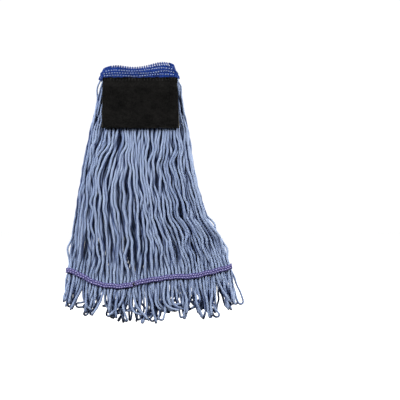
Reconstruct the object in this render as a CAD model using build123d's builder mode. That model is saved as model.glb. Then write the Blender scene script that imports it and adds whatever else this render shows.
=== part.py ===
from build123d import *
from math import atan2, degrees
import os

# Looped-end wet mop head, hanging as it does from its handle.
#
# Two curtains of looped yarn, one in front and one behind, run up into one headband that is
# folded over the handle's bar. A scrub pad is sewn to the front of the headband, and a tape
# sewn across each curtain near its lower end keeps the loops side by side.
#
# Origin: on the axis of the handle's bar, inside the fold, at the middle of its width.
# +X is to the right, -Y is the front with the scrub pad, +Z is up. All sizes are in mm.

FRONT = -1
BACK = 1

# Headband, folded over the bar. The layers lie on each other from the bar outwards.
band_width = 158
band_drop = 17
bar_radius = 5
lining_thickness = 1
band_thickness = 1.2
fold_radius = 15
layer_gap = 0.3
half_gap = 0.2

# Curtains of yarn, each standing a little off the middle plane between front and back
yarn_inner = 1
yarn_outer = 15
pinch_inner = 4
pinch_outer = 12
pinch_reach = 14
swell_reach = 38
bundles = 10
bundle_gap = 0.4
front_cut = -120
back_cut = -45

# Height, left edge and right edge of the yarn, from the crown of the fold to the loops.
# The heights of both cuts are among them.
yarn_edges = [
    (fold_radius, -77.5, 77.5),
    (-18, -77.5, 77.5),
    (-26, -80, 82),
    (back_cut, -85, 86),
    (-73, -92, 90),
    (front_cut, -103, 100),
    (-165, -112, 106),
    (-230, -124, 119),
    (-290, -133, 138),
    (-335, -140, 168),
    (-385, -146, 184),
    (-430, -153, 196),
    (-464, -158, 209),
]
loops_highest = -466
loops_fall = 41

# Tail band: a tape on each face of a curtain, sewn through with two rows of stitches
tail_line_points = [
    (-149, -392), (-109, -412), (-63, -427), (-9, -423),
    (41, -412), (91, -409), (127, -403), (186, -389),
]
tape_width = 10
tape_thickness = 0.7

# Scrub pad: its top is sewn down flat on the headband, and the rest hangs as a flap
pad_top_left = -74
pad_top_right = 75
pad_bottom_left = -76
pad_bottom_right = 80
pad_bottom = -111
pad_thickness = 8
hem_height = 8
hem_thickness = 4
pad_taper = 10
pad_corner = 3

# Stitches
stitch_length = 4.2
stitch_width = 1
stitch_height = 0.5
band_stitch_pitch = 6.9
band_stitch_columns = 22
band_row_step = 20
band_rows_on_fold = 4
band_row_below = -5.2
tail_stitch_pitch = 6
tail_row_offset = 2.6
pad_stitch_pitch = 6
pad_stitch_columns = 24

os.makedirs("parts", exist_ok=True)


def fold_layer(name, inner, outer, side):
    """Half of one layer of the headband, from the crown of the fold to its lower edge."""
    with BuildPart() as layer:
        with BuildSketch(Plane.YZ):
            Circle(outer)
            Circle(inner, mode=Mode.SUBTRACT)
            with Locations((side * (half_gap + outer / 2), outer / 2)):
                Rectangle(outer, outer, mode=Mode.INTERSECT)
            with Locations((side * (inner + outer) / 2, -band_drop / 2)):
                Rectangle(outer - inner, band_drop)
        extrude(amount=band_width / 2, both=True)
    layer.part.label = name
    export_step(layer.part, f"parts/{name}.step")


def bundle_outline(number, rows, low=None):
    """Outline, seen from the front, of one tenth of the yarn between two heights."""
    first = number / bundles
    last = (number + 1) / bundles
    left_side = [(left + first * (right - left) + bundle_gap / 2, z) for z, left, right in rows]
    right_side = [(left + last * (right - left) - bundle_gap / 2, z) for z, left, right in rows]
    if low is not None:
        left_side.append((left_side[-1][0], low))
        right_side.append((right_side[-1][0], low))
    return left_side + right_side[::-1]


def yarn_neck(name, cut, side):
    """The yarn from the crown of the fold down to the cut, as ten bundles side by side."""
    low = min(cut, back_cut)
    yarn_top_inner = bar_radius + lining_thickness + layer_gap
    yarn_top_outer = fold_radius - band_thickness - layer_gap
    rows = [row for row in yarn_edges if row[0] >= cut]
    with BuildPart() as neck:
        with BuildSketch(Plane.XZ):
            for number in range(bundles):
                with BuildLine():
                    Polyline(*bundle_outline(number, rows), close=True)
                make_face()
        extrude(amount=fold_radius, both=True)
        with BuildSketch(Plane.YZ, mode=Mode.PRIVATE) as section:
            Circle(yarn_top_outer)
            Circle(yarn_top_inner, mode=Mode.SUBTRACT)
            with Locations((side * (half_gap + fold_radius / 2), fold_radius / 2)):
                Rectangle(fold_radius, fold_radius, mode=Mode.INTERSECT)
            with BuildLine():
                Polyline(
                    (side * yarn_top_inner, 0), (side * yarn_top_outer, 0),
                    (side * yarn_top_outer, -band_drop - layer_gap), (side * yarn_outer, -26),
                    (side * yarn_outer, low), (side * yarn_inner, low),
                    (side * yarn_inner, back_cut + 5),
                    (side * yarn_top_inner, -band_drop - layer_gap), close=True)
            make_face()
        extrude(section.sketch, amount=band_width, both=True, mode=Mode.INTERSECT)
    neck.part.label = name
    export_step(neck.part, f"parts/{name}.step")


def tail_height(x):
    """Height of the middle of the tail band at x."""
    for (x0, z0), (x1, z1) in zip(tail_line_points, tail_line_points[1:]):
        if x <= x1 or (x1, z1) == tail_line_points[-1]:
            return z0 + (z1 - z0) * (x - x0) / (x1 - x0)


def yarn_bundle(name, number, cut, side):
    """One tenth of a curtain: swollen above the tail band, pinched in it, loose below it."""
    share = (number + 0.5) / bundles
    rows = [row for row in yarn_edges if row[0] <= cut]
    rows[0] = (cut - bundle_gap, rows[0][1], rows[0][2])
    low = loops_highest - loops_fall * (4 * share * (1 - share)) ** 0.8
    tail_left = tail_line_points[0][0]
    tail_right = tail_line_points[-1][0]
    tail = tail_height(tail_left + share * (tail_right - tail_left))
    with BuildPart() as bundle:
        with BuildSketch(Plane.XZ):
            with BuildLine():
                Polyline(*bundle_outline(number, rows, low), close=True)
            make_face()
        extrude(amount=fold_radius, both=True)
        with BuildSketch(Plane.YZ):
            with BuildLine():
                Polyline(
                    (side * yarn_outer, cut), (side * yarn_outer, tail + swell_reach),
                    (side * pinch_outer, tail + pinch_reach),
                    (side * pinch_outer, tail - pinch_reach),
                    (side * yarn_outer, tail - swell_reach), (side * yarn_outer, low),
                    (side * yarn_inner, low), (side * yarn_inner, tail - swell_reach),
                    (side * pinch_inner, tail - pinch_reach),
                    (side * pinch_inner, tail + pinch_reach),
                    (side * yarn_inner, tail + swell_reach), (side * yarn_inner, cut),
                    close=True)
            make_face()
        extrude(amount=2 * band_width, both=True, mode=Mode.INTERSECT)
    bundle.part.label = name
    export_step(bundle.part, f"parts/{name}.step")


def tail_tape(name, near, far):
    """One tape of a tail band, between two distances behind the middle plane."""
    upper = [(x, z + tape_width / 2) for x, z in tail_line_points]
    lower = [(x, z - tape_width / 2) for x, z in tail_line_points]
    with BuildPart() as tape:
        with BuildSketch(Plane.XZ.offset(-near)):
            with BuildLine():
                Spline(*upper)
                Line(upper[-1], lower[-1])
                Spline(*lower[::-1])
                Line(lower[0], upper[0])
            make_face()
        extrude(amount=near - far)
    tape.part.label = name
    export_step(tape.part, f"parts/{name}.step")


def tail_stitching(name, faces):
    """Two rows of stitches along the tail band, on its outer and on its inner tape."""
    middle = Spline(*tail_line_points)
    count = int(middle.length / tail_stitch_pitch)
    with BuildPart() as stitching:
        for face, outwards in faces:
            with BuildSketch(Plane.XZ.offset(-face)):
                for number in range(count):
                    share = (number + 0.5) / count
                    place = middle @ share
                    along = middle % share
                    turn = degrees(atan2(along.Y, along.X))
                    for offset in (-tail_row_offset, tail_row_offset):
                        with Locations(Location((place.X, place.Y + offset), (0, 0, turn))):
                            SlotOverall(stitch_length, stitch_width)
            extrude(amount=-outwards * stitch_height)
    stitching.part.label = name
    export_step(stitching.part, f"parts/{name}.step")


def band_stitching(name, side):
    """Rows of stitches through the headband, every other row shifted by half a stitch."""
    planes = []
    for row in range(band_rows_on_fold):
        up = Vector(0, side, 0).rotate(Axis.X, side * row * band_row_step)
        planes.append(Plane(origin=up * fold_radius, x_dir=(1, 0, 0), z_dir=up))
    planes.append(Plane(origin=(0, side * fold_radius, band_row_below), x_dir=(1, 0, 0),
                        z_dir=(0, side, 0)))
    with BuildPart() as stitching:
        for row, plane in enumerate(planes):
            shift = band_stitch_pitch * (row % 2 - 0.5) / 2
            with BuildSketch(plane):
                with Locations((shift, 0)):
                    with GridLocations(band_stitch_pitch, 1, band_stitch_columns, 1):
                        SlotOverall(stitch_length, stitch_width)
            extrude(amount=stitch_height)
    stitching.part.label = name
    export_step(stitching.part, f"parts/{name}.step")


# Headband: an open mesh outside, a lining against the bar, and the yarn between them
for half, side in (("front", FRONT), ("back", BACK)):
    fold_layer(f"headband_{half}", fold_radius - band_thickness, fold_radius, side)
    fold_layer(f"lining_{half}", bar_radius, bar_radius + lining_thickness, side)
    band_stitching(f"headband_stitching_{half}", side)
yarn_neck("yarn_neck_front", front_cut, FRONT)
yarn_neck("yarn_neck_back", back_cut, BACK)

# Curtains, each with its tail band
tape_faces = (pinch_outer + layer_gap, pinch_inner - layer_gap)
for half, side, cut in (("front", FRONT, front_cut), ("back", BACK, back_cut)):
    for number in range(bundles):
        yarn_bundle(f"yarn_{half}_{number + 1:02d}", number, cut, side)
    outer_face, inner_face = tape_faces
    outer_far = side * (outer_face + tape_thickness)
    inner_far = side * (inner_face - tape_thickness)
    tail_tape(f"tail_tape_{half}_outer", side * outer_face, outer_far)
    tail_tape(f"tail_tape_{half}_inner", side * inner_face, inner_far)
    tail_stitching(f"tail_stitching_{half}", ((outer_far, side), (inner_far, -side)))

# Scrub pad, its hem on the headband and the thread that holds the hem down
pad_back = fold_radius + layer_gap
hem_low = -band_drop
hem_high = hem_low + hem_height
pad_high = hem_low - half_gap

with BuildPart() as pad_hem:
    with BuildSketch(Plane.XZ.offset(pad_back)):
        with Locations(((pad_top_left + pad_top_right) / 2, (hem_low + hem_high) / 2)):
            Rectangle(pad_top_right - pad_top_left, hem_height)
    extrude(amount=hem_thickness)
pad_hem.part.label = "pad_hem"
export_step(pad_hem.part, "parts/pad_hem.step")

with BuildPart() as pad_stitching:
    with BuildSketch(Plane.XZ.offset(pad_back + hem_thickness)):
        with Locations(((pad_top_left + pad_top_right) / 2, (hem_low + hem_high) / 2)):
            with GridLocations(pad_stitch_pitch, 1, pad_stitch_columns, 1):
                SlotOverall(stitch_length, stitch_width)
    extrude(amount=stitch_height)
pad_stitching.part.label = "pad_stitching"
export_step(pad_stitching.part, "parts/pad_stitching.step")

with BuildPart() as scrub_pad:
    with BuildSketch(Plane.XZ.offset(pad_back)):
        with BuildLine():
            Polyline((pad_top_left, pad_high), (pad_top_right, pad_high),
                     (pad_bottom_right, pad_bottom), (pad_bottom_left, pad_bottom), close=True)
        make_face()
    extrude(amount=pad_thickness)
    with BuildSketch(Plane.YZ):
        with BuildLine():
            Polyline((-pad_back, pad_high), (-pad_back - hem_thickness, pad_high),
                     (-pad_back - pad_thickness, pad_high - pad_taper),
                     (-pad_back - pad_thickness, pad_bottom), (-pad_back, pad_bottom), close=True)
        make_face()
    extrude(amount=band_width, both=True, mode=Mode.INTERSECT)
    lower_corners = scrub_pad.edges().filter_by(Axis.Y).group_by(Axis.Z)[0]
    fillet(lower_corners, radius=pad_corner)
scrub_pad.part.label = "scrub_pad"
export_step(scrub_pad.part, "parts/scrub_pad.step")
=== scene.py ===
import math
import bpy
import numpy as np
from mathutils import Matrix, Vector


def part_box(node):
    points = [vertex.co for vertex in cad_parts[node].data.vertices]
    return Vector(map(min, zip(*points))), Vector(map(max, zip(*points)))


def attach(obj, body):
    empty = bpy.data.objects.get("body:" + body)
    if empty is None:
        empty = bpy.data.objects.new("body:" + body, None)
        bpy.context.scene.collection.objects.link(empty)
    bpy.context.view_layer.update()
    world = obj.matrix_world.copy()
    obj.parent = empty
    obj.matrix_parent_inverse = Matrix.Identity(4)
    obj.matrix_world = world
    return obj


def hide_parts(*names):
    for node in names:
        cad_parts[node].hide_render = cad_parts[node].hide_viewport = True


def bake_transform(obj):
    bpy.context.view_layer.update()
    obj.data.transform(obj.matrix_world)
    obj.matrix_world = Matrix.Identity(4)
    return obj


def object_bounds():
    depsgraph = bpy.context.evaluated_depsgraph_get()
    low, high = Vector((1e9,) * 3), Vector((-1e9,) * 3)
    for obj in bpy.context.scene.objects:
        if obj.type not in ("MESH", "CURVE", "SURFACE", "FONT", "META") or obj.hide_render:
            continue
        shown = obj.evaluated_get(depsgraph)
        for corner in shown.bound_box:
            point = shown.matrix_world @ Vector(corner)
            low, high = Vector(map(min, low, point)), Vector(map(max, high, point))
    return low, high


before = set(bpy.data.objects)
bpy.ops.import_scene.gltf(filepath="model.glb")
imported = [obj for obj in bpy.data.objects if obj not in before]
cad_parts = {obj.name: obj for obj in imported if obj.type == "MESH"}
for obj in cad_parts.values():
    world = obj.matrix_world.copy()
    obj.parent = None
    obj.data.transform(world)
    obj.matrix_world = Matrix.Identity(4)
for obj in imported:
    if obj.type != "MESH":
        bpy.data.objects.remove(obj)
cad_low, cad_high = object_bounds()
mm = 0.001


# Camera: straight in front of the hanging head, a long lens three metres away.
# The head stands left of the middle of the picture and fills two thirds of its height.
picture_width = 800 * mm
camera_distance = 3.0
right_of_bar, below_crown = 121 * mm, 270 * mm
sensor_width = 36
camera_data = bpy.data.cameras.new("camera")
camera_data.sensor_width = sensor_width
camera_data.lens = camera_data.sensor_width * camera_distance / picture_width
camera = bpy.data.objects.new("camera", camera_data)
bpy.context.scene.collection.objects.link(camera)
camera.location = (right_of_bar, cad_low.y - camera_distance, cad_high.z - below_crown)
camera.rotation_euler = (math.radians(90), 0, 0)
bpy.context.scene.camera = camera


# Yarn: forty-eight loops of four-ply cotton and polyester blend to a side, about 5 mm thick and limp.
# Each loop leaves the headband, hangs to its closed end and goes back up, and its two legs are
# sewn into the tail band on the way. Legs lie two or three deep and cross each other freely.
yarn_diameter = 5 * mm
loops = 48
legs = 2 * loops
leg_points = 101
fringe_points = 18
end_points = 7


def node_points(*names):
    return np.array([v.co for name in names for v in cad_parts[name].data.vertices])


def yarn_edge(half, bundle, outermost):
    """Heights and the outermost x there, of the neck and of one outer bundle."""
    points = node_points(f"yarn_neck_{half}", f"yarn_{half}_{bundle:02d}")
    heights = np.unique(points[:, 2].round(4))
    widest = [outermost(points[np.abs(points[:, 2] - z) < 0.2 * mm][:, 0]) for z in heights]
    return heights, np.array(widest)


def waves(rng, count, shortest, longest):
    """Smooth noise along a line: a sum of sine waves of random length and phase, about 1 high."""
    turns = 2 * math.pi / rng.uniform(shortest, longest, count)
    phases = rng.uniform(0, 2 * math.pi, count)

    def value(along):
        along = np.asarray(along)[..., None]
        return np.sin(along * turns + phases).sum(-1) / math.sqrt(count)
    return value


def sheet_waves(rng, count, shortest, longest, stretch):
    """Smooth noise over a sheet, drawn out by stretch along its height."""
    angles = rng.uniform(0, math.pi, count)
    turns = 2 * math.pi / rng.uniform(shortest, longest, count)
    phases = rng.uniform(0, 2 * math.pi, count)

    def value(x, z):
        x, z = np.asarray(x)[..., None], np.asarray(z)[..., None] / stretch
        swing = (x * np.cos(angles) + z * np.sin(angles)) * turns
        return np.sin(swing + phases).sum(-1) / math.sqrt(count)
    return value


def smooth_step(value, low, high):
    share = np.clip((value - low) / (high - low), 0, 1)
    return share * share * (3 - 2 * share)


def close_pairs(points, reach):
    """Every pair of points nearer to each other than reach, found cell by cell."""
    cells = np.floor(points / reach).astype(np.int64)
    cells -= cells.min(0) - 1
    across = cells.max(0) + 2
    keys = (cells[:, 0] * across[1] + cells[:, 1]) * across[2] + cells[:, 2]
    order = np.argsort(keys, kind="stable")
    sorted_keys = keys[order]
    first, second = [], []
    for dx in (-1, 0, 1):
        for dy in (-1, 0, 1):
            for dz in (-1, 0, 1):
                target = keys + (dx * across[1] + dy) * across[2] + dz
                start = np.searchsorted(sorted_keys, target, "left")
                count = np.searchsorted(sorted_keys, target, "right") - start
                a = np.repeat(np.arange(len(points)), count)
                within = np.arange(count.sum()) - np.repeat(np.cumsum(count) - count, count)
                b = order[np.repeat(start, count) + within]
                near = a < b
                near[near] = ((points[a[near]] - points[b[near]]) ** 2).sum(1) < reach * reach
                first.append(a[near])
                second.append(b[near])
    return np.concatenate(first), np.concatenate(second)


tail_points = node_points("tail_tape_front_outer")
tail_x = np.linspace(tail_points[:, 0].min(), tail_points[:, 0].max(), 40)
tail_z = np.array([tail_points[np.abs(tail_points[:, 0] - x) < 12 * mm][:, 2].mean() for x in tail_x])
tail_curve = np.polynomial.Polynomial.fit(tail_x, tail_z, 6)
yarn_start = -6 * mm
# Legs that stray out of the edge: number, height, how far out, and over what length
stray_legs = {
    "front": ((0, -28 * mm, -9 * mm, 24 * mm), (0, -352 * mm, -9 * mm, 18 * mm),
              (1, -34 * mm, -3 * mm, 20 * mm), (legs - 1, -26 * mm, 5 * mm, 20 * mm),
              (1, -358 * mm, -5 * mm, 16 * mm), (legs - 1, -300 * mm, 8 * mm, 15 * mm),
              (legs - 1, -352 * mm, 8 * mm, 14 * mm),
              (legs - 2, -326 * mm, 5 * mm, 13 * mm), (legs - 4, -340 * mm, 9 * mm, 15 * mm)),
    "back": ((1, -215 * mm, -6 * mm, 22 * mm), (legs - 2, -150 * mm, 6 * mm, 20 * mm)),
}
fold_depth = np.where(np.arange(legs) % 2, 11.8 * mm, 8.2 * mm)
# How far the legs wander sideways: all together, across each other, in clumps, and each by itself
sway_size, cross_size, clump_size = 4.6 * mm, 7 * mm, 1.2 * mm
own_size_mm = 1.8
# How the fringe fans out from left to right, and how far it falls from the tail band
fan_left, fan_range, fringe_drop = -0.21, 0.47, 75 * mm
# Radius of a closed end when it is laid out, before its neighbours press on it
ring_smallest_mm, ring_largest_mm = 4.4, 6.0
fringe_depth = 8 * mm
legs_apart = 2.3 * mm
# The lower edge of the fringe, which is ragged: places across it, and the lowest closed end there
fringe_x = np.array([-158, -131, -97, -83, -59, -37, 14, 41, 67, 107, 135, 155, 165, 190, 209]) * mm
fringe_z = np.array([-468, -480, -493, -497, -497, -505, -506, -501, -494, -495, -497, -496, -481,
                     -478, -467]) * mm


def parting(x):
    """Leans the closed ends away from the places where the fringe has parted."""
    return sum(np.clip((x - at) / (6 * mm), -1, 1) * math.exp(-((x - at) / (15 * mm)) ** 2)
               for at in (-112 * mm, -72 * mm, -18 * mm, 8 * mm, 70 * mm, 106 * mm, 150 * mm, 180 * mm))


def hang_yarn(half, side, seed):
    """Centre lines of all the loops of one curtain, as an array of loops, points and places."""
    rng = np.random.default_rng(seed)
    left_heights, left_x = yarn_edge(half, 1, np.min)
    right_heights, right_x = yarn_edge(half, 10, np.max)
    inset = yarn_diameter / 2

    def place_across(share, z):
        left = np.interp(z, left_heights, left_x) + inset
        right = np.interp(z, right_heights, right_x) - inset
        return left + share * (right - left)

    # Legs from the headband to the tail band
    leg = np.arange(legs)
    share = ((leg + 0.5) / legs)[:, None]
    tail_place = tail_x[0] + inset + share * (tail_x[-1] - tail_x[0] - 2 * inset)
    tail_height = tail_curve(tail_place)
    down = np.linspace(0, 1, leg_points)[None, :]
    z = yarn_start + down * (tail_height - yarn_start)
    sway = sheet_waves(rng, 7, 70 * mm, 170 * mm, 1.5)
    cross = sheet_waves(rng, 7, 50 * mm, 130 * mm, 1.6)
    clump = sheet_waves(rng, 5, 16 * mm, 34 * mm, 9)
    lock = sheet_waves(rng, 9, 24 * mm, 60 * mm, 1.6)
    x = place_across(share, z)
    free = smooth_step(-z, 20 * mm, 110 * mm) * smooth_step(z - tail_height, 0, 60 * mm)
    inward = smooth_step(np.minimum(share, 1 - share), 0, 0.16)
    layer = rng.permuted(np.tile([0.0, 0.5, 1.0], legs // 3 + 1)[:legs])[:, None]
    crinkle = (1.6 + 1.1 * np.exp(-((z + 150 * mm) / (45 * mm)) ** 2)) * mm
    swing = sway_size * sway(x, z) + cross_size * (layer - 0.5) * cross(x, z)
    kinks = (0.4 + 0.6 * inward) * crinkle * lock(x, z)
    x = x + free * (inward * swing + clump_size * clump(x, z) + kinks)
    own = [waves(rng, 4, 45 * mm, 150 * mm) for _ in leg]
    own_sway = np.array([w(z[i]) for i, w in enumerate(own)])
    x = x + free * (0.4 + 0.6 * inward) * own_size_mm * mm * own_sway
    for number, height, size, reach in stray_legs[half]:
        x[number] += size * np.exp(-((z[number] - height) / reach) ** 2)
    layer = layer + 0.35 * np.array([waves(rng, 3, 90 * mm, 240 * mm)(z[i]) for i in leg])
    inner, outer = 1 * mm + inset, 15 * mm - inset
    loose_depth = inner + np.clip(layer, 0, 1) * (outer - inner)
    y = side * (fold_depth[:, None] + free * (loose_depth - fold_depth[:, None]))
    leg_lines = np.stack([x, y, z], 2)

    # Closed ends below the tail band: two legs open into a ring, each its own way round
    lines = []
    for number in range(loops):
        one, two = leg_lines[2 * number], leg_lines[2 * number + 1]
        top = (one[-1] + two[-1]) / 2
        top[1] = side * fringe_depth
        spread = fan_left + fan_range * (top[0] - tail_x[0]) / (tail_x[-1] - tail_x[0])
        end_x = top[0] + spread * fringe_drop
        low = np.interp(end_x, fringe_x, fringe_z) + rng.exponential(8 * mm) + 1 * mm
        ring = rng.uniform(ring_smallest_mm, ring_largest_mm) * mm
        length = top[2] - low - ring
        lean = rng.normal(0, 0.06) + spread
        parted = 0.35 * parting(top[0])
        curl = rng.normal(0, 0.35) if rng.uniform() < 0.8 else rng.choice([-1.4, 1.4])
        if not 5 <= number < loops - 5:
            curl = 0.1 * lean
        if rng.uniform() < 0.78:
            turn = rng.choice([-1, 1]) * rng.normal(1.35, 0.22)
        else:
            turn = rng.normal(0, 0.5)
        depth = side * rng.uniform(-4, 6) * mm
        down = np.linspace(0, 1, fringe_points + 1)[1:]
        heading = lean + parted * smooth_step(down, 0.05, 0.55) + curl * smooth_step(down, 0.45, 1)
        centre = np.zeros((fringe_points, 3))
        centre[:, 0] = top[0] + np.cumsum(np.sin(heading)) * length / fringe_points
        centre[:, 2] = top[2] - np.cumsum(np.cos(heading)) * length / fringe_points
        centre[:, 1] = top[1] + depth * smooth_step(down, 0, 1)
        half_gap = legs_apart + (ring - legs_apart) * smooth_step(down, 0.1, 0.95)
        facing = turn * smooth_step(down, 0.1, 0.9)
        out = np.stack([np.cos(facing) * np.cos(heading), np.sin(facing),
                        np.cos(facing) * np.sin(heading)], 1)
        left_leg = centre - out * half_gap[:, None]
        right_leg = centre + out * half_gap[:, None]
        ahead = np.array([math.sin(heading[-1]), 0, -math.cos(heading[-1])])
        round_end = np.linspace(0, math.pi, end_points + 2)[1:-1, None]
        end = centre[-1] - out[-1] * np.cos(round_end) * ring + ahead * np.sin(round_end) * ring
        lines.append(np.concatenate([one, left_leg, end, right_leg[::-1], two[::-1]]))
    lines = np.array(lines)
    return relax_yarn(lines, side, place_across)


push_share, push_upright = 0.32, 0.3
fringe_stiffness, leg_stiffness = 0.25, 0.40
fringe_pull, leg_pull = 0.02, 0.008
nearest_middle, furthest_out = 3.2 * mm, 12.8 * mm


def relax_yarn(lines, side, place_across):
    """Pushes the loops apart where they lie in each other, and keeps them smooth and in place.
    A curtain is narrow in depth under the headband and in the tail band, and open in the fringe."""
    count, points_each = lines.shape[:2]
    owner = np.repeat(np.arange(count), points_each)
    index = np.tile(np.arange(points_each), count)
    guide = lines.copy()
    tail_gap = np.abs(guide[..., 2] - tail_curve(guide[..., 0]))
    held = smooth_step(8 * mm - tail_gap, 0, 6 * mm)[..., None]
    in_fringe = np.zeros(points_each, bool)
    in_fringe[leg_points:points_each - leg_points] = True
    below_tail = smooth_step(tail_curve(guide[..., 0]) - guide[..., 2], 6 * mm, 30 * mm)
    rounds = 110
    for number in range(rounds):
        flat = lines.reshape(-1, 3)
        if number % 10 == 0:
            a, b = close_pairs(flat, 1.5 * yarn_diameter)
            apart = (owner[a] != owner[b]) | (np.abs(index[a] - index[b]) > 4)
            a, b = a[apart], b[apart]
        wanted = yarn_diameter * (0.74 + 0.22 * smooth_step(-flat[a, 2], 20 * mm, 110 * mm))
        gap = flat[a] - flat[b]
        distance = np.maximum(np.linalg.norm(gap, axis=1), 1e-6)
        push = np.clip(wanted - distance, 0, None)[:, None] * gap / distance[:, None] * push_share
        push[:, 2] *= push_upright
        shift = np.zeros_like(flat)
        for axis in range(3):
            shift[:, axis] = (np.bincount(a, push[:, axis], len(flat))
                              - np.bincount(b, push[:, axis], len(flat)))
        lines = (flat + shift).reshape(lines.shape)
        moved = lines - guide
        middle = (moved[:, :-2] + moved[:, 2:]) / 2
        stiffness = np.where(in_fringe, fringe_stiffness, leg_stiffness)[None, 1:-1, None]
        lines[:, 1:-1] += stiffness * (middle - moved[:, 1:-1])
        pull = np.where(in_fringe, fringe_pull, leg_pull)[None, :, None]
        lines += pull * (guide - lines) * [1, 0.2, 1]
        depth = lines[..., 1] * side
        near_band = 1 - smooth_step(-lines[..., 2], 18 * mm, 34 * mm)
        low = nearest_middle + near_band * 4.8 * mm + 2.2 * mm * held[..., 0]
        high = furthest_out - near_band * 0.9 * mm - 3.0 * mm * held[..., 0] + 6 * mm * below_tail
        low = low - 0.7 * mm * below_tail
        lines[..., 1] = side * np.clip(depth, low, high)
        lines[:, :, 0] += 0.5 * held[..., 0] * (guide[..., 0] - lines[..., 0])
        level = lines[:, ~in_fringe, 2]
        left, right = place_across(0, level), place_across(1, level)
        left = np.minimum(left, guide[:, ~in_fringe, 0] + 1 * mm)
        right = np.maximum(right, guide[:, ~in_fringe, 0] - 1 * mm)
        lines[:, ~in_fringe, 0] = np.clip(lines[:, ~in_fringe, 0], left, right)
        lines[:, 0], lines[:, -1] = guide[:, 0], guide[:, -1]
    return lines


widest_slit, slit_left, slit_reach = 3.5 * mm, 3.1 * mm, 18 * mm
edge_kept, slit_fade = 10 * mm, 45 * mm


def close_slits(front, back):
    """Shifts legs of the back curtain sideways where all the legs together would leave a slit.
    The shift fades out at both ends, so that no leg gets a kink there."""
    rows = np.arange(70 * mm, 392 * mm, 4 * mm)
    spread = np.exp(-(np.arange(-10, 11) / 4.5) ** 2)
    spread /= spread.sum()
    fading = (smooth_step(rows, rows[0], rows[0] + slit_fade)
              * smooth_step(rows[-1] - rows, 0, slit_fade))
    both = [np.concatenate([half[:, :leg_points], half[:, :-leg_points - 1:-1]])
            for half in (front, back)]
    fixed = np.array([np.interp(rows, -leg[:, 2], leg[:, 0]) for leg in both[0]])
    for _ in range(30):
        moving = np.array([np.interp(rows, -leg[:, 2], leg[:, 0]) for leg in both[1]])
        shift = np.zeros_like(moving)
        for row in range(len(rows)):
            places = np.sort(np.concatenate([fixed[:, row], moving[:, row]]))
            gaps = np.diff(places)
            for number in np.nonzero(gaps > widest_slit)[0]:
                centre = (places[number] + places[number + 1]) / 2
                if not places[0] + edge_kept < centre < places[-1] - edge_kept:
                    continue
                away = moving[:, row] - centre
                weight = np.clip(1 - np.abs(away) / slit_reach, 0, 1)
                shift[:, row] -= 0.5 * np.sign(away) * weight * (gaps[number] - slit_left)
        shift = np.array([np.convolve(np.pad(one, 10, "edge"), spread, "valid") for one in shift])
        for leg, one in zip(both[1], shift * fading):
            leg[:, 0] += np.interp(-leg[:, 2], rows, one, 0, 0)
    count = len(back)
    back[:, :leg_points] = both[1][:count]
    back[:, :-leg_points - 1:-1] = both[1][count:]


def how_sunk(lines):
    """How deep each point lies among the yarns around it, from 0 to 1. A yarn on the outside or the
    inside of the curtain isn't sunk, so both faces keep their own colour when the curtain lifts."""
    flat = lines.reshape(-1, 3)
    depth = flat[:, 1]
    a, b = close_pairs(flat * [1, 0.3, 0.8], 6.5 * mm)
    near = np.bincount(a, minlength=len(flat)) + np.bincount(b, minlength=len(flat))
    covered = []
    for way in (1, -1):
        proud = way * (depth[b] - depth[a]) / (3.5 * mm)
        total = (np.bincount(a, np.clip(proud, 0, 1), len(flat))
                 + np.bincount(b, np.clip(-proud, 0, 1), len(flat)))
        covered.append(total / np.maximum(near, 8))
    return np.minimum(covered[0], covered[1]).reshape(lines.shape[:2])


def drawn_finely(points, spacing):
    """The same line with evenly spaced points, rounded through its corners."""
    before, after = points[0] * 2 - points[1], points[-1] * 2 - points[-2]
    p = np.concatenate([[before], points, [after]])
    t = np.linspace(0, 1, 5)[:-1, None, None]
    p0, p1, p2, p3 = p[:-3], p[1:-2], p[2:-1], p[3:]
    curve = (0.5 * (2 * p1 + (p2 - p0) * t + (2 * p0 - 5 * p1 + 4 * p2 - p3) * t ** 2
                    + (3 * p1 - p0 - 3 * p2 + p3) * t ** 3))
    curve = np.concatenate([curve.transpose(1, 0, 2).reshape(-1, 3), points[-1:]])
    run = np.concatenate([[0], np.cumsum(np.linalg.norm(np.diff(curve, axis=0), axis=1))])
    even = np.linspace(0, run[-1], int(run[-1] / spacing) + 1)
    return np.stack([np.interp(even, run, curve[:, axis]) for axis in range(3)], 1)


crimp_size = 0.42 * mm


def crimped(line, rng):
    """The small waves that a plied yarn keeps, dying out towards the headband."""
    run = np.arange(len(line)) * ring_spacing
    size = crimp_size * smooth_step(-line[:, 2], 20 * mm, 60 * mm)
    crimp = [size * waves(rng, 4, 15 * mm, 45 * mm)(run) for _ in range(2)]
    return line + np.stack([crimp[0], 0.6 * crimp[1], 0 * size], 1)


ply_pitch = 16 * mm
ring_points = 16
ring_spacing = 2.6 * mm


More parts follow.
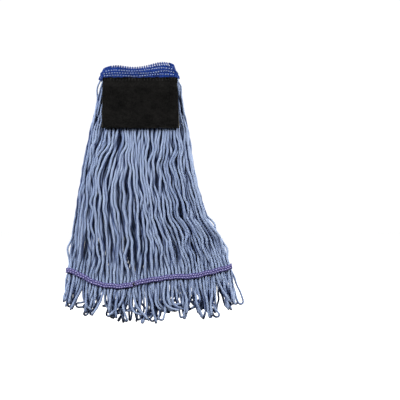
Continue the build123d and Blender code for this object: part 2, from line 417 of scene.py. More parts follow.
def yarn_mesh(name, points, radius, turn, sunk):
    """A four-ply yarn along a line: a ring with four lobes that turns once in every ply pitch.
    Point attributes carry the ply, the place on the yarn and how sunk it lies."""
    count = len(points)
    ahead = np.gradient(points, axis=0)
    ahead /= np.linalg.norm(ahead, axis=1)[:, None]
    normal = np.zeros_like(points)
    normal[0] = np.cross(ahead[0], [0, 1, 0.1])
    for i in range(1, count):
        normal[i] = normal[i - 1] - ahead[i] * (normal[i - 1] @ ahead[i])
        normal[i] /= np.linalg.norm(normal[i])
    normal[0] = normal[1]
    side = np.cross(ahead, normal)
    run = np.concatenate([[0], np.cumsum(np.linalg.norm(np.diff(points, axis=0), axis=1))])
    around = np.arange(ring_points) * 2 * math.pi / ring_points
    ply = 0.5 + 0.5 * np.cos(4 * around)
    lobe = 0.81 + 0.19 * np.sqrt(ply)
    angle = turn + around[None, :] + (2 * math.pi * run / ply_pitch)[:, None]
    reach = (radius[:, None] * lobe[None, :])[..., None]
    rings = points[:, None] + reach * (np.cos(angle)[..., None] * normal[:, None]
                                       + np.sin(angle)[..., None] * side[:, None])
    vertices = rings.reshape(-1, 3)
    ring, spot = np.meshgrid(np.arange(count - 1), np.arange(ring_points), indexing="ij")
    beside = (spot + 1) % ring_points
    faces = np.stack([ring * ring_points + spot, ring * ring_points + beside,
                      (ring + 1) * ring_points + beside, (ring + 1) * ring_points + spot], 2)
    mesh = bpy.data.meshes.new(name)
    caps = [list(range(ring_points))[::-1],
            list(range((count - 1) * ring_points, count * ring_points))]
    mesh.from_pydata(vertices.tolist(), [], faces.reshape(-1, 4).tolist() + caps)
    mesh.shade_smooth()
    place = np.stack([np.tile(np.cos(around), count), np.tile(np.sin(around), count),
                      np.repeat(run, ring_points) / yarn_diameter], 1)
    mesh.attributes.new("ply", "FLOAT", "POINT").data.foreach_set(
        "value", np.tile(ply, count).astype(np.float32))
    mesh.attributes.new("sunk", "FLOAT", "POINT").data.foreach_set(
        "value", np.repeat(sunk, ring_points).astype(np.float32))
    mesh.attributes.new("yarn_place", "FLOAT_VECTOR", "POINT").data.foreach_set(
        "vector", place.astype(np.float32).ravel())
    piece = bpy.data.objects.new(name, mesh)
    bpy.context.scene.collection.objects.link(piece)
    return piece


def set_shade(piece, value):
    """One number over the whole piece, which its material reads as its own depth of dye."""
    mesh = piece.data
    shade = mesh.attributes.new("shade", "FLOAT", "POINT")
    shade.data.foreach_set("value", np.full(len(mesh.vertices), value, np.float32))


def linear(hex_colour):
    """A colour given in sRGB hex, as the linear colour and alpha that a shader takes."""
    parts = [int(hex_colour[i:i + 2], 16) / 255 for i in (1, 3, 5)]
    return [p / 12.92 if p <= 0.04045 else ((p + 0.055) / 1.055) ** 2.4 for p in parts] + [1]


def add_node(material, kind, settings=None, **links):
    """Adds a shader node, sets its properties and inputs, and links the inputs named."""
    tree = material.node_tree
    node = tree.nodes.new("ShaderNode" + kind)
    for key, value in (settings or {}).items():
        if isinstance(key, str) and hasattr(node, key):
            setattr(node, key, value)
        else:
            node.inputs[key].default_value = value
    for key, output in links.items():
        socket = node.inputs[int(key[1:])] if key[1:].isdigit() else node.inputs[key.replace("_", " ")]
        tree.links.new(output, socket)
    return node


def new_material(name):
    material = bpy.data.materials.new(name)
    material.use_nodes = True
    material.node_tree.nodes.clear()
    return material


def finish_material(material, shader):
    output = add_node(material, "OutputMaterial")
    material.node_tree.links.new(shader.outputs[0], output.inputs["Surface"])


# Cotton and polyester blend yarn, spun soft and dyed: matt, with a light bloom of fibre ends, with
# painted shade between its plies, and uneven in tone from yarn to yarn and along each one. The fibre
# pattern is about 4 mm long and the slubs about 20 mm, coarser than real fibres so that they show.
# Yarn that others cover on both sides is also turned towards navy, to deepen the shade inside the
# curtain: the sunk value says how much. It is painted on and doesn't depend on the light.
yarn_material = new_material("cotton_blend_yarn")
ply_value = add_node(yarn_material, "Attribute", {"attribute_name": "ply"})
place_value = add_node(yarn_material, "Attribute", {"attribute_name": "yarn_place"})
shade_value = add_node(yarn_material, "Attribute", {"attribute_name": "shade"})
fibre = add_node(yarn_material, "TexNoise", {"Scale": 1.4, "Detail": 6.0, "Roughness": 0.7},
                 Vector=place_value.outputs["Vector"])
slub = add_node(yarn_material, "TexNoise", {"Scale": 0.22, "Detail": 2.0},
                Vector=place_value.outputs["Vector"])
# Painted shade between the plies: the colour darkens where the ply value falls towards a groove
ply_groove_shade = add_node(yarn_material, "Math", {"operation": "MULTIPLY_ADD", 1: 0.45, 2: -0.17},
                     _0=ply_value.outputs["Fac"])
fibre_sum = add_node(yarn_material, "Math", {"operation": "MULTIPLY_ADD", 1: 0.85},
                     _0=fibre.outputs["Fac"], _2=ply_groove_shade.outputs[0])
slub_sum = add_node(yarn_material, "Math", {"operation": "MULTIPLY_ADD", 1: 0.4},
                    _0=slub.outputs["Fac"], _2=fibre_sum.outputs[0])
shade_sum = add_node(yarn_material, "Math", {"operation": "ADD", "use_clamp": True},
                     _0=slub_sum.outputs[0], _1=shade_value.outputs["Fac"])
yarn_ramp = add_node(yarn_material, "ValToRGB", _0=shade_sum.outputs[0])
yarn_ramp.color_ramp.elements[0].position = 0.15
yarn_ramp.color_ramp.elements[0].color = linear("#4A6190")
yarn_ramp.color_ramp.elements[1].position = 0.95
yarn_ramp.color_ramp.elements[1].color = linear("#A9B8D3")
sunk_value = add_node(yarn_material, "Attribute", {"attribute_name": "sunk"})
sunk_share = add_node(yarn_material, "MapRange", {"From Max": 0.3, "To Max": 0.85},
                      Value=sunk_value.outputs["Fac"])
yarn_colour = add_node(yarn_material, "Mix", {"data_type": "RGBA", 7: linear("#1C3064")},
                       _0=sunk_share.outputs["Result"], _6=yarn_ramp.outputs["Color"])
yarn_bump = add_node(yarn_material, "Bump", {"Strength": 0.5, "Distance": 0.4 * mm},
                     Height=fibre.outputs["Fac"])
yarn_shader = add_node(yarn_material, "BsdfPrincipled",
                       {"Roughness": 0.85, "Specular IOR Level": 0.25, "Sheen Weight": 0.12,
                        "Sheen Roughness": 0.5},
                       Base_Color=yarn_colour.outputs[2], Normal=yarn_bump.outputs["Normal"])
finish_material(yarn_material, yarn_shader)

# The loops of each curtain. Yarn is pressed thinner in the headband.
pressed_share = 0.76
yarn_lines = {}
for half, side, seed in (("front", -1, 11), ("back", 1, 29)):
    yarn_lines[half] = hang_yarn(half, side, seed)
close_slits(yarn_lines["front"], yarn_lines["back"])
for half, seed in (("front", 12), ("back", 30)):
    rng = np.random.default_rng(seed)
    depths = how_sunk(yarn_lines[half])
    for number, line in enumerate(yarn_lines[half]):
        fine = crimped(drawn_finely(line, ring_spacing), rng)
        length = np.linalg.norm(np.diff(fine, axis=0), axis=1).sum()
        run = np.concatenate([[0], np.cumsum(np.linalg.norm(np.diff(line, axis=0), axis=1))])
        sunk = np.interp(np.linspace(0, run[-1], len(fine)), run, depths[number])
        thickness = pressed_share + (1 - pressed_share) * smooth_step(-fine[:, 2], 18 * mm, 90 * mm)
        slubs = waves(rng, 3, 30 * mm, 90 * mm)(np.arange(len(fine)) * ring_spacing)
        thickness = thickness * (1 + 0.05 * slubs)
        loop = yarn_mesh(f"yarn_loop_{half}_{number + 1:02d}", fine,
                         thickness * yarn_diameter / 2, rng.uniform(0, 6), sunk)
        set_shade(loop, rng.normal(0, 0.07))
        loop.data.materials.append(yarn_material)
        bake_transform(loop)
        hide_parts(f"yarn_{half}_{number * 10 // loops + 1:02d}", f"yarn_neck_{half}")


# Yarn inside the fold: two layers pressed between mesh and lining, which run over the handle's bar
# from the legs of the front curtain to those of the back one. They are one piece, and not the loops.
fold_steps = 11
drawn_in, flattened = 0.12, 0.64
fold_yarn_radius = 0.38 * yarn_diameter


def crest(x):
    """How far the crown of the headband stands above or below its middle height at x."""
    left = 4.2 * mm * np.exp(-((x + 47 * mm) / (22 * mm)) ** 2)
    right = 10.9 * mm * np.exp(-((x - 47 * mm) / (33 * mm)) ** 2)
    return left + right - 2.2 * mm - 5 * mm * np.abs(x / (76 * mm)) ** 10


def joined(name, pieces):
    """Several meshes as one piece, keeping their point attributes."""
    bpy.ops.object.select_all(action="DESELECT")
    for piece in pieces:
        piece.select_set(True)
    bpy.context.view_layer.objects.active = pieces[0]
    bpy.ops.object.join()
    pieces[0].name = pieces[0].data.name = name
    pieces[0].select_set(False)
    return pieces[0]


rng = np.random.default_rng(5)
fold_yarns = []
for leg in range(legs):
    ends = [yarn_lines[half][leg // 2][0 if leg % 2 == 0 else -1] for half in ("front", "back")]
    reach = fold_depth[leg]
    turn = np.linspace(0, math.pi, fold_steps)
    x = ends[0][0] + (ends[1][0] - ends[0][0]) * np.linspace(0, 1, fold_steps)
    x = x * (1 - drawn_in * np.sin(turn))
    rise = flattened * reach * np.sin(turn)
    over = np.stack([x, -reach * np.cos(turn), rise], 1)
    line = drawn_finely(np.concatenate([[ends[0]], over, [ends[1]]]), ring_spacing)
    # The fold yarn gets a sunk value of 0.3 all along, which gives it the full painted navy shade
    yarn = yarn_mesh(f"fold_yarn_{leg}", line, np.full(len(line), fold_yarn_radius),
                     rng.uniform(0, 6), np.full(len(line), 0.3))
    set_shade(yarn, rng.normal(0, 0.07))
    yarn.data.materials.append(yarn_material)
    fold_yarns.append(yarn)
fold_yarn = joined("yarn_in_fold", fold_yarns)
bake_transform(fold_yarn)
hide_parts("yarn_neck_front", "yarn_neck_back")


# Headband: an open mesh of coated polyester yarns, woven as one strip and folded over the bar.
# The fold waves where the yarn under it is uneven, and the strip flares a little downwards. Its
# columns are drawn 5 mm apart, coarser than the real 4 mm or so, so that the holes show.
mesh_radius = 14.6 * mm
mesh_drop = 17 * mm
mesh_thickness = 0.9 * mm
half_run = mesh_drop + mesh_radius * math.pi / 2
column_pitch = 5 * mm
column_hole = 1.9 * mm
row_pitch = 3.6 * mm
row_hole = 2.0 * mm
columns = 30
comb_reach = 11.4 * mm
comb_reach_raised = 9.6 * mm
comb_half_width = 62 * mm
raised_from, raised_to = 20 * mm, 68 * mm
left_half_width, left_flare = 74, 9
right_half_width, right_flare = 69, 11.5


def band_place(across, run, lift=0.0):
    """A point of the folded band: across from -1 to 1, run from the crown, negative in front."""
    across, run = np.asarray(across, float), np.asarray(run, float)
    straight = np.clip(np.abs(run) - mesh_radius * math.pi / 2, 0, None)
    turn = np.clip(np.abs(run) / mesh_radius, 0, math.pi / 2)
    side = np.sign(run)
    reach = mesh_radius + lift
    flare = smooth_step(np.abs(run), 2 * mm, half_run)
    x = across * np.where(across < 0, left_half_width + left_flare * flare,
                          right_half_width + right_flare * flare) * mm
    straight = straight * (1 - np.where(across < 0, 0.3, 0.5) * np.abs(across) ** 8)
    wave = 1 - 0.85 * smooth_step(np.abs(run), 2 * mm, half_run)
    y = side * reach * np.sin(turn)
    z = reach * np.cos(turn) - straight + crest(x) * wave
    ends_in = 1.5 * mm * np.abs(across) ** 12
    return np.stack([x, y - side * ends_in * np.sin(turn), z], -1)


def grid_lines(count, pitch, hole, start):
    """Positions of the edges of ribs and holes, a rib first and last."""
    rib = pitch - hole
    lines = [start]
    for number in range(count):
        lines += [start + number * pitch + rib, start + (number + 1) * pitch]
    return np.array(lines + [start + count * pitch + rib])


def in_comb(across, run):
    """Whether the rows are left out here, so that the columns stand as a comb along the fold."""
    x = across * 76 * mm
    reach = comb_reach_raised if raised_from < x < raised_to else comb_reach
    return abs(run) < reach and abs(x) < comb_half_width


def woven_strip(name, us, vs, place, thickness, smoothing, has_holes=True):
    """A strip on a grid of ribs and holes, given thickness and rounded."""
    u, v = np.meshgrid(us, vs, indexing="ij")
    vertices = place(u, v).reshape(-1, 3)
    faces = []
    for i in range(len(us) - 1):
        for j in range(len(vs) - 1):
            hole = i % 2 == 1 and (j % 2 == 1 or in_comb(us[i], vs[j]))
            if has_holes and hole and 1 < j < len(vs) - 3:
                continue
            corner = i * len(vs) + j
            faces.append((corner, corner + len(vs), corner + len(vs) + 1, corner + 1))
    mesh = bpy.data.meshes.new(name)
    mesh.from_pydata(vertices.tolist(), [], faces)
    piece = bpy.data.objects.new(name, mesh)
    bpy.context.scene.collection.objects.link(piece)
    solid = piece.modifiers.new("thickness", "SOLIDIFY")
    solid.thickness, solid.offset = thickness, 0
    if smoothing:
        rounded = piece.modifiers.new("rounded", "SUBSURF")
        rounded.levels = rounded.render_levels = smoothing
    return settled(piece)


def settled(piece):
    """Makes the piece's modifiers part of its mesh."""
    ready = piece.evaluated_get(bpy.context.evaluated_depsgraph_get())
    piece.data = bpy.data.meshes.new_from_object(ready)
    piece.modifiers.clear()
    piece.data.name = piece.name
    piece.data.shade_smooth()
    return piece


column_lines = grid_lines(columns, column_pitch, column_hole, 0)
column_lines = column_lines / column_lines[-1] * 2 - 1
row_count = int((2 * half_run - row_pitch + row_hole) / row_pitch)
row_lines = grid_lines(row_count, row_pitch, row_hole, 0)
row_lines = (row_lines / row_lines[-1] * 2 - 1) * half_run
band = woven_strip("headband_mesh", column_lines, row_lines, band_place, mesh_thickness, 1)

# Coated polyester mesh: a strong royal blue with a soft shine, a fine rib every 1 mm along each
# yarn, and dye that varies over about 11 mm
band_material = new_material("coated_polyester_mesh")
band_space = add_node(band_material, "TexCoord")
band_thread = add_node(band_material, "TexWave", {"wave_type": "BANDS", "bands_direction": "X",
                       "Scale": 320.0, "Distortion": 1.5, "Detail": 2.0},
                       Vector=band_space.outputs["Object"])
band_dye = add_node(band_material, "TexNoise", {"Scale": 90.0, "Detail": 4.0},
                    Vector=band_space.outputs["Object"])
band_mix = add_node(band_material, "Math", {"operation": "MULTIPLY_ADD", 1: 0.35},
                    _0=band_thread.outputs["Fac"], _2=band_dye.outputs["Fac"])
band_ramp = add_node(band_material, "ValToRGB", _0=band_mix.outputs[0])
band_ramp.color_ramp.elements[0].position = 0.3
band_ramp.color_ramp.elements[0].color = linear("#051341")
band_ramp.color_ramp.elements[1].position = 0.9
band_ramp.color_ramp.elements[1].color = linear("#12388A")
band_bump = add_node(band_material, "Bump", {"Strength": 0.6, "Distance": 0.3 * mm},
                     Height=band_thread.outputs["Fac"])
band_shader = add_node(band_material, "BsdfPrincipled", {"Roughness": 0.55, "Specular IOR Level": 0.12},
                       Base_Color=band_ramp.outputs["Color"], Normal=band_bump.outputs["Normal"])
finish_material(band_material, band_shader)
band.data.materials.append(band_material)
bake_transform(band)
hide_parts("headband_front", "headband_back")


# Lining: a plain-woven polyester tape against the bar, folded like the headband and sewn with it.
# It narrows towards the fold as the mesh does. Its weave is drawn at 1.2 mm, coarser than the real.
lining_radius = 5.5 * mm


def lining_place(across, run):
    straight = np.clip(np.abs(run) - lining_radius * math.pi / 2, 0, None)
    turn = np.clip(np.abs(run) / lining_radius, 0, math.pi / 2)
    flare = smooth_step(np.abs(run), -6 * mm, lining_run)
    half_width = np.where(across < 0, 71 + 9 * flare, 66 + 12 * flare) * mm
    return np.stack([across * half_width, np.sign(run) * lining_radius * np.sin(turn),
                     lining_radius * np.cos(turn) - straight], -1)


lining_run = mesh_drop + lining_radius * math.pi / 2 - 0.5 * mm
lining = woven_strip("headband_lining", np.linspace(-1, 1, 40),
                     np.linspace(-lining_run, lining_run, 33), lining_place, 0.8 * mm, 1, False)
lining_material = new_material("plain_woven_polyester")
lining_space = add_node(lining_material, "TexCoord")
weft = add_node(lining_material, "TexWave", {"bands_direction": "X", "Scale": 260.0},
                Vector=lining_space.outputs["Object"])
warp = add_node(lining_material, "TexWave", {"bands_direction": "Z", "Scale": 260.0},
                Vector=lining_space.outputs["Object"])
lining_weave = add_node(lining_material, "Math", {"operation": "MULTIPLY"},
                        _0=weft.outputs["Fac"], _1=warp.outputs["Fac"])
lining_ramp = add_node(lining_material, "ValToRGB", _0=lining_weave.outputs[0])
lining_ramp.color_ramp.elements[0].color = linear("#14244F")
lining_ramp.color_ramp.elements[1].color = linear("#33488A")
lining_bump = add_node(lining_material, "Bump", {"Strength": 0.5, "Distance": 0.2 * mm},
                       Height=lining_weave.outputs[0])
lining_shader = add_node(lining_material, "BsdfPrincipled", {"Roughness": 0.75},
                         Base_Color=lining_ramp.outputs["Color"], Normal=lining_bump.outputs["Normal"])
finish_material(lining_material, lining_shader)
lining.data.materials.append(lining_material)
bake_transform(lining)
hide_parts("lining_front", "lining_back")


# Headband stitching: rows of lockstitch in pale twisted thread that hold mesh, yarn and lining
# together, every other row shifted by half a stitch.
stitch_pitch = 5.2 * mm
stitch_length = 2.1 * mm
thread_radius = 0.8 * mm
stitch_sides = 8
stitch_rings = 7


def stitches(name, paths):
    """A row of stitches as one mesh: each path gives the few points that one stitch lies along."""
    vertices, faces = [], []
    for path in paths:
        path = np.asarray(path, float)
        share = np.linspace(0, 1, stitch_rings)
        knots = np.linspace(0, 1, len(path))
        centre = np.stack([np.interp(share, knots, path[:, axis]) for axis in range(3)], 1)
        ahead = np.gradient(centre, axis=0)
        ahead /= np.linalg.norm(ahead, axis=1)[:, None]
        side_way = np.cross(ahead, [0.03, 1, 0.2])
        side_way /= np.linalg.norm(side_way, axis=1)[:, None]
        up_way = np.cross(side_way, ahead)
        size = thread_radius * np.sqrt(np.clip(1 - (2 * share - 1) ** 4, 0.08, 1))
        first = len(vertices)
        for i in range(stitch_rings):
            for k in range(stitch_sides):
                angle = 2 * math.pi * k / stitch_sides + 0.9 * i
                swell = size[i] * (1 + 0.14 * math.cos(2 * (angle - 0.9 * i)))
                vertices.append(centre[i] + swell * (math.cos(angle) * side_way[i]
                                                     + math.sin(angle) * up_way[i]))
        for i in range(stitch_rings - 1):
            for k in range(stitch_sides):
                a, b = first + i * stitch_sides + k, first + i * stitch_sides + (k + 1) % stitch_sides
                faces.append((a, b, b + stitch_sides, a + stitch_sides))
        faces.append(tuple(range(first + stitch_sides - 1, first - 1, -1)))
        last = first + (stitch_rings - 1) * stitch_sides
        faces.append(tuple(range(last, last + stitch_sides)))
    mesh = bpy.data.meshes.new(name)
    mesh.from_pydata([tuple(v) for v in vertices], [], faces)
    mesh.shade_smooth()
    piece = bpy.data.objects.new(name, mesh)
    bpy.context.scene.collection.objects.link(piece)
    return piece


def thread_material(name, dark, light):
    """Twisted polyester thread: smooth, slightly shiny, its twist as slanting bands 0.6 mm apart."""
    material = new_material(name)
    space = add_node(material, "TexCoord")
    twist = add_node(material, "TexWave", {"bands_direction": "DIAGONAL", "Scale": 500.0,
                                           "Distortion": 0.6}, Vector=space.outputs["Object"])
    ramp = add_node(material, "ValToRGB", _0=twist.outputs["Fac"])
    ramp.color_ramp.elements[0].color = linear(dark)
    ramp.color_ramp.elements[1].color = linear(light)
    bump = add_node(material, "Bump", {"Strength": 0.4, "Distance": 0.15 * mm},
                    Height=twist.outputs["Fac"])
    shader = add_node(material, "BsdfPrincipled", {"Roughness": 0.5},
                      Base_Color=ramp.outputs["Color"], Normal=bump.outputs["Normal"])
    finish_material(material, shader)
    return material


band_thread_material = thread_material("twisted_polyester_thread", "#8CA4DA", "#C9D7F3")
stitch_rows = {"front": (12.9, 18.4, 23.6, 28.6), "back": (12.9, 18.4, 23.6, 28.6, 34.0)}
stitched_width = 150 * mm
for half, side in (("front", -1), ("back", 1)):
    rng = np.random.default_rng(41 + side)
    paths = []
    for row, run in enumerate(stitch_rows[half]):
        row_wander = waves(rng, 3, 50 * mm, 160 * mm)
        count = int(stitched_width / stitch_pitch)
        for number in range(count):
            middle = (number + 0.5 + 0.5 * (row % 2) - count / 2) * stitch_pitch
            middle += rng.normal(0, 0.25 * mm)
            if abs(middle) > stitched_width / 2 - 4 * mm:
                continue
            if row == 0 and not raised_from < middle < raised_to:
                continue
            along = middle + np.linspace(-0.5, 0.5, 5) * stitch_length
            height = run * mm + 0.6 * mm * row_wander(along)
            lift = np.array([-0.1, 0.75, 1.0, 0.75, -0.1]) * mm
            paths.append(band_place(along / (78 * mm), side * height, lift))
    row_piece = stitches(f"headband_stitching_{half}_thread", paths)
    row_piece.data.materials.append(band_thread_material)
    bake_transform(row_piece)
    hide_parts(f"headband_stitching_{half}")


# Scrub pad: one sheet of black nylon fibres, crimped, tangled and glued at their crossings with
# grit in the glue. Its top is sewn down flat on the headband and the rest hangs as a flap.
hem_low_corner, hem_high_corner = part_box("pad_hem")
pad_low_corner, pad_high_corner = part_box("scrub_pad")
pad_across, pad_down = 110, 76
pad_edge = 3.2 * mm
pad_thickness, pad_pressed = 8 * mm, 4 * mm
pad_back = -15.4 * mm


def pad_surface(u, v, face, noise):
    """A point of the pad: u across and v down from 0 to 1, face -1 in front and 1 behind."""
    top, bottom = hem_high_corner.z, pad_low_corner.z
    z = top + v * (bottom - top)
    left = hem_low_corner.x + v * (pad_low_corner.x - hem_low_corner.x)
    right = hem_high_corner.x + v * (pad_high_corner.x - hem_high_corner.x)
    x = left + u * (right - left)
    from_edge = np.minimum(np.minimum(x - left, right - x), z - bottom)
    from_edge = np.minimum(from_edge, (top - z) * 1.6)
    rounding = np.sqrt(np.clip(1 - (1 - np.clip(from_edge / pad_edge, 0, 1)) ** 2, 0, 1))
    sewn = 1 - smooth_step(top - z, 8 * mm, 20 * mm)
    sewn = sewn + 0.25 * np.exp(-((top - z - 4 * mm) / (1.6 * mm)) ** 2)
    thickness = pad_thickness - pad_pressed * sewn
    middle = pad_back - thickness / 2
    y = middle + face * thickness / 2 * rounding
    lumps = noise[0](x, z) * 0.35 * mm + noise[1](x, z) * 0.22 * mm
    y = y + face * rounding * np.clip(lumps, -0.6 * mm, 0.6 * mm) * (face < 0)
    x = x + (1 - rounding) * noise[1](z * 1.7, x) * 0.5 * mm
    z = z + (1 - rounding) * noise[0](x * 1.9, z) * 0.5 * mm
    return np.stack([x, y, z], -1)


rng = np.random.default_rng(77)
pad_noise = (sheet_waves(rng, 9, 9 * mm, 30 * mm, 1), sheet_waves(rng, 12, 2.6 * mm, 7 * mm, 1))
u, v = np.meshgrid(np.linspace(0, 1, pad_across), np.linspace(0, 1, pad_down), indexing="ij")
pad_sides = [pad_surface(u, v, face, pad_noise).reshape(-1, 3) for face in (-1, 1)]
faces = []
for i in range(pad_across - 1):
    for j in range(pad_down - 1):
        a = i * pad_down + j
        faces.append((a, a + 1, a + pad_down + 1, a + pad_down))
        behind = a + pad_across * pad_down
        faces.append((behind, behind + pad_down, behind + pad_down + 1, behind + 1))
pad_mesh = bpy.data.meshes.new("scrub_pad_nonwoven")
pad_mesh.from_pydata(np.concatenate(pad_sides).tolist(), [], faces)
pad = bpy.data.objects.new("scrub_pad_nonwoven", pad_mesh)
bpy.context.scene.collection.objects.link(pad)
weld = pad.modifiers.new("weld", "WELD")
weld.merge_threshold = 0.05 * mm
pad = settled(pad)
pad_points = np.array([v.co for v in pad.data.vertices])
edge_gap = np.minimum(pad_points[:, 2] - pad_low_corner.z,
                      np.minimum(pad_points[:, 0] - pad_low_corner.x,
                                 pad_high_corner.x - pad_points[:, 0]))
# Painted highlight: within 2.4 mm of the cut edges the pad turns grey, about a third as much on the
# left as on the right
edge_highlight_reach = 2.4 * mm
painted_edge_highlight = (smooth_step(edge_highlight_reach - edge_gap, 0, edge_highlight_reach)
           * (0.35 + 0.65 * smooth_step(pad_points[:, 0], 0, 60 * mm)))
pad.data.attributes.new("painted_edge_highlight", "FLOAT", "POINT").data.foreach_set(
    "value", painted_edge_highlight.astype(np.float32))

# Loose fibres stand out of the pad's face and past its edges
fibre_count = 3200
fibre_lines = []
for number in range(fibre_count):
    at = rng.uniform(0, 1, 2)
    if number % 3 == 0:
        edge = rng.integers(4)
        at[edge % 2] = abs(edge // 2 - rng.uniform(0, 0.012))
    start = pad_surface(at[0], at[1], -1, pad_noise)
    heading = rng.uniform(0, 2 * math.pi)
    bend = rng.normal(0, 0.5, 3)
    length = rng.uniform(2.0, 5.0) * mm
    line = []
    for share in np.linspace(0, 1, 4):
        turned = heading + bend[0] * share * 2
        out = 0.45 * mm * math.sin(share * math.pi) + 0.25 * mm
        line.append(start + np.array([math.cos(turned), 0, math.sin(turned)]) * length * share * 0.6
                    + np.array([0, -out, 0]))
    fibre_lines.append(line)
fibre_lines = np.array(fibre_lines)
fibre_radius = 0.11 * mm
triangle = np.array([[math.cos(a), math.sin(a)] for a in (0, 2.1, 4.2)]) * fibre_radius
rings = fibre_lines[:, :, None, :] + np.stack(
    [triangle[:, 0], triangle[:, 1], triangle[:, 0] * 0.7], 1)[None, None]
fibre_faces = []
for number in range(fibre_count):
    base = number * 12
    for ring in range(3):
        for k in range(3):
            a, b = base + ring * 3 + k, base + ring * 3 + (k + 1) % 3
            fibre_faces.append((a, b, b + 3, a + 3))
    fibre_faces += [(base, base + 2, base + 1), (base + 9, base + 10, base + 11)]
fibre_mesh = bpy.data.meshes.new("scrub_pad_fibres")
fibre_mesh.from_pydata(rings.reshape(-1, 3).tolist(), [], fibre_faces)
fibres = bpy.data.objects.new("scrub_pad_fibres", fibre_mesh)
bpy.context.scene.collection.objects.link(fibres)

# Black nylon non-woven: a near-black, warm and open felt, rough, with a painted grey highlight along
# its cut edges that is strongest on the right. The real fibres lie about 1 mm apart, and are drawn
# 2.4 mm apart so that they show.
pad_material = new_material("nylon_non_woven")
pad_space = add_node(pad_material, "TexCoord")
felt = add_node(pad_material, "TexNoise", {"Scale": 420.0, "Detail": 6.0, "Roughness": 0.7},
                Vector=pad_space.outputs["Object"])
felt_patches = add_node(pad_material, "TexNoise", {"Scale": 60.0, "Detail": 3.0},
                        Vector=pad_space.outputs["Object"])
felt_sum = add_node(pad_material, "Math", {"operation": "MULTIPLY_ADD", 1: 0.5},
                    _0=felt_patches.outputs["Fac"], _2=felt.outputs["Fac"])
pad_ramp = add_node(pad_material, "ValToRGB", _0=felt_sum.outputs[0])
pad_ramp.color_ramp.elements[0].position = 0.55
pad_ramp.color_ramp.elements[0].color = linear("#040404")
pad_ramp.color_ramp.elements[1].position = 1.0
pad_ramp.color_ramp.elements[1].color = linear("#1D1C1B")
# The painted edge highlight mixes the felt towards warm grey
edge_highlight_value = add_node(pad_material, "Attribute", {"attribute_name": "painted_edge_highlight"})
pad_colour = add_node(pad_material, "Mix", {"data_type": "RGBA", 7: linear("#6B675F")},
                      _0=edge_highlight_value.outputs["Fac"], _6=pad_ramp.outputs["Color"])
pad_bump = add_node(pad_material, "Bump", {"Strength": 0.9, "Distance": 0.8 * mm},
                    Height=felt.outputs["Fac"])
pad_shader = add_node(pad_material, "BsdfPrincipled", {"Roughness": 0.95, "Specular IOR Level": 0.06},
                      Base_Color=pad_colour.outputs[2], Normal=pad_bump.outputs["Normal"])
finish_material(pad_material, pad_shader)
for piece in (pad, fibres):
    piece.data.materials.append(pad_material)
    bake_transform(piece)
    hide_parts("scrub_pad", "pad_hem")

# Pad stitching: two rows of black polyester thread sunk in the hem
pad_stitch_rows = (3.2 * mm, 5.6 * mm)
pad_stitch_count, pad_stitch_pitch = 24, 6.1 * mm
black_thread_material = thread_material("black_polyester_thread", "#080808", "#181716")
paths = []
for row in pad_stitch_rows:
    for number in range(pad_stitch_count):
        middle = hem_low_corner.x + (number + 0.7) * pad_stitch_pitch
        along = middle + np.linspace(-0.5, 0.5, 5) * stitch_length
        share = (along - hem_low_corner.x) / (hem_high_corner.x - hem_low_corner.x)
        depth = row / (hem_high_corner.z - pad_low_corner.z)
        line = pad_surface(share, np.full(5, depth), -1, pad_noise)
        line[:, 1] += np.array([0.9, 0.4, 0.25, 0.4, 0.9]) * mm
        paths.append(line)
pad_thread = stitches("pad_stitching_thread", paths)
pad_thread.data.materials.append(black_thread_material)
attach(pad_thread, "front_half")
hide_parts("pad_stitching")


# Tail bands: on each face of a curtain a narrow purple tape, sewn through the yarn with two rows
# of pale stitches, so that the loops stay side by side. The tape ripples over the yarns it presses,
# and a dark bar tack crosses the front one at its join.
tape_width = 10 * mm
tape_thickness = 0.7 * mm
outer_depth, inner_depth = 12.65 * mm, 3.35 * mm
tail_stitch_count, tail_stitch_length = 66, 3.4 * mm
seam_at = -12 * mm
tape_ends = (tail_x[0] + 0.5 * mm, tail_x[-1] - 0.5 * mm)


def tape_place(side, depth, along, across, lift=0.0):
    """A point of a tape: along is x, across its width from -1 to 1, lift away from the yarn."""
    slope = tail_curve.deriv()(along)
    lean = 1 / np.sqrt(1 + slope ** 2)
    ripple = 0.32 * mm * np.sin(along * 2 * math.pi / (4.2 * mm) + across * 0.8)
    sway = (0.7 * mm * np.sin(along * 41) + 0.6 * mm * np.sin(along * 97 + 1)
            + 0.45 * mm * np.sin(along * 233 + 2))
    z = tail_curve(along) + sway + across * tape_width / 2 * lean
    x = along - across * tape_width / 2 * slope * lean
    return np.stack([x, side * (depth + lift + ripple) + 0 * x, z], -1)


# Purple polyester tape: dull, with a weave drawn at about 1.5 mm, coarser than the real
tape_material = new_material("purple_woven_tape")
tape_space = add_node(tape_material, "TexCoord")
tape_weft = add_node(tape_material, "TexWave", {"bands_direction": "X", "Scale": 210.0,
                     "Distortion": 1.0}, Vector=tape_space.outputs["Object"])
tape_warp = add_node(tape_material, "TexWave", {"bands_direction": "Z", "Scale": 190.0,
                     "Distortion": 1.0}, Vector=tape_space.outputs["Object"])
tape_weave = add_node(tape_material, "Math", {"operation": "MULTIPLY"},
                      _0=tape_weft.outputs["Fac"], _1=tape_warp.outputs["Fac"])
tape_ramp = add_node(tape_material, "ValToRGB", _0=tape_weave.outputs[0])
tape_ramp.color_ramp.elements[0].color = linear("#312969")
tape_ramp.color_ramp.elements[1].position = 0.8
tape_ramp.color_ramp.elements[1].color = linear("#68659F")
tape_bump = add_node(tape_material, "Bump", {"Strength": 0.7, "Distance": 0.3 * mm},
                     Height=tape_weave.outputs[0])
tape_shader = add_node(tape_material, "BsdfPrincipled", {"Roughness": 0.7},
                       Base_Color=tape_ramp.outputs["Color"], Normal=tape_bump.outputs["Normal"])
finish_material(tape_material, tape_shader)
tail_thread_material = thread_material("lilac_polyester_thread", "#8F87C8", "#CFCBEC")
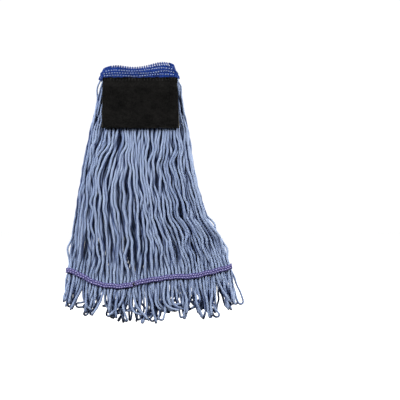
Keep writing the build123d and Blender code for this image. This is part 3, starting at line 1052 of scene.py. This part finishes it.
for half, side in (("front", -1), ("back", 1)):
    for face, depth, outwards in (("outer", outer_depth, 1), ("inner", inner_depth, -1)):
        along = np.linspace(tape_ends[0], tape_ends[1], 330)
        across = np.linspace(-1, 1, 7)
        tape = woven_strip(f"tail_tape_{half}_{face}_weave", along, across,
                           lambda u, v: tape_place(side, depth, u, v), tape_thickness, 0, False)
        tape.data.materials.append(tape_material)
        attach(tape, f"{half}_curtain")
        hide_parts(f"tail_tape_{half}_{face}")
        paths = []
        for row in (-0.42, 0.42):
            for number in range(tail_stitch_count):
                share = (number + 0.5 + 0.25 * np.sign(row)) / tail_stitch_count
                middle = tape_ends[0] + share * (tape_ends[1] - tape_ends[0])
                xs = middle + np.linspace(-0.5, 0.5, 5) * tail_stitch_length
                lift = outwards * np.array([-0.1, 0.5, 0.7, 0.5, -0.1]) * mm
                paths.append(tape_place(side, depth, xs, np.full(5, row), lift))
        if half == "front" and face == "outer":
            seam_lift = np.array([0.2, 0.8, 1.0, 0.8, 0.2]) * mm
            seam = [tape_place(side, depth, seam_at + at, np.linspace(-0.9, 0.9, 5), seam_lift)
                    for at in (-0.9 * mm, 0.9 * mm)]
            bar_tack = stitches("tail_bar_tack", seam)
            bar_tack.data.materials.append(black_thread_material)
            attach(bar_tack, "front_curtain")
        rows = stitches(f"tail_stitching_{half}_{face}", paths)
        rows.data.materials.append(tail_thread_material)
        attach(rows, f"{half}_curtain")
        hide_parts(f"tail_stitching_{half}")


# Floor: a wide white disc just under the lowest loop. It glows, so that it reads as the same white
# as the surround, and it is kept from throwing light on the head.
floor_radius = 9
floor_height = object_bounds()[0].z - 0.3 * mm
floor_mesh = bpy.data.meshes.new("floor")
floor_mesh.from_pydata([(floor_radius * math.cos(a), floor_radius * math.sin(a), floor_height)
                        for a in np.linspace(0, 2 * math.pi, 97)[:-1]], [], [tuple(range(96))])
floor = bpy.data.objects.new("floor", floor_mesh)
bpy.context.scene.collection.objects.link(floor)
floor_material = new_material("matt_white_paper")
floor_shader = add_node(floor_material, "BsdfPrincipled",
                        {"Base Color": linear("#B4B4B4"), "Roughness": 0.9, "Specular IOR Level": 0.1,
                         "Emission Color": (1, 1, 1, 1), "Emission Strength": 0.97})
finish_material(floor_material, floor_shader)
floor_mesh.materials.append(floor_material)
floor.visible_diffuse = floor.visible_glossy = False


# Light: four soft square lamps, two in front and two behind, in a dim white surround that the
# camera sees as plain white. They stand to the sides, so that the yarns shade each other.
lamp_size = 0.9
lamp_aim = Vector((0, 0, -0.25))
world = bpy.data.worlds.new("surround")
world.use_nodes = True
sky = world.node_tree.nodes["Background"]
sky.inputs["Color"].default_value = (1, 1, 1, 1)
seen = world.node_tree.nodes.new("ShaderNodeLightPath")
bright = world.node_tree.nodes.new("ShaderNodeMapRange")
bright.inputs["To Min"].default_value = 0.05
bright.inputs["To Max"].default_value = 1.05
world.node_tree.links.new(seen.outputs["Is Camera Ray"], bright.inputs["Value"])
world.node_tree.links.new(bright.outputs["Result"], sky.inputs["Strength"])
bpy.context.scene.world = world
bpy.context.scene.view_settings.view_transform = "Standard"

for name, place, power in (("left_softbox", (-2.0, -1.2, 0.9), 104),
                           ("right_softbox", (2.2, -1.2, 0.7), 78),
                           ("rear_left_softbox", (-2.1, 1.3, 0.7), 62),
                           ("rear_right_softbox", (2.0, 1.3, 0.8), 86)):
    lamp_data = bpy.data.lights.new(name, "AREA")
    lamp_data.shape, lamp_data.size, lamp_data.energy = "SQUARE", lamp_size, power
    lamp = bpy.data.objects.new(name, lamp_data)
    bpy.context.scene.collection.objects.link(lamp)
    lamp.location = place
    aim = lamp_aim - lamp.location
    lamp.rotation_euler = aim.to_track_quat("-Z", "Y").to_euler()
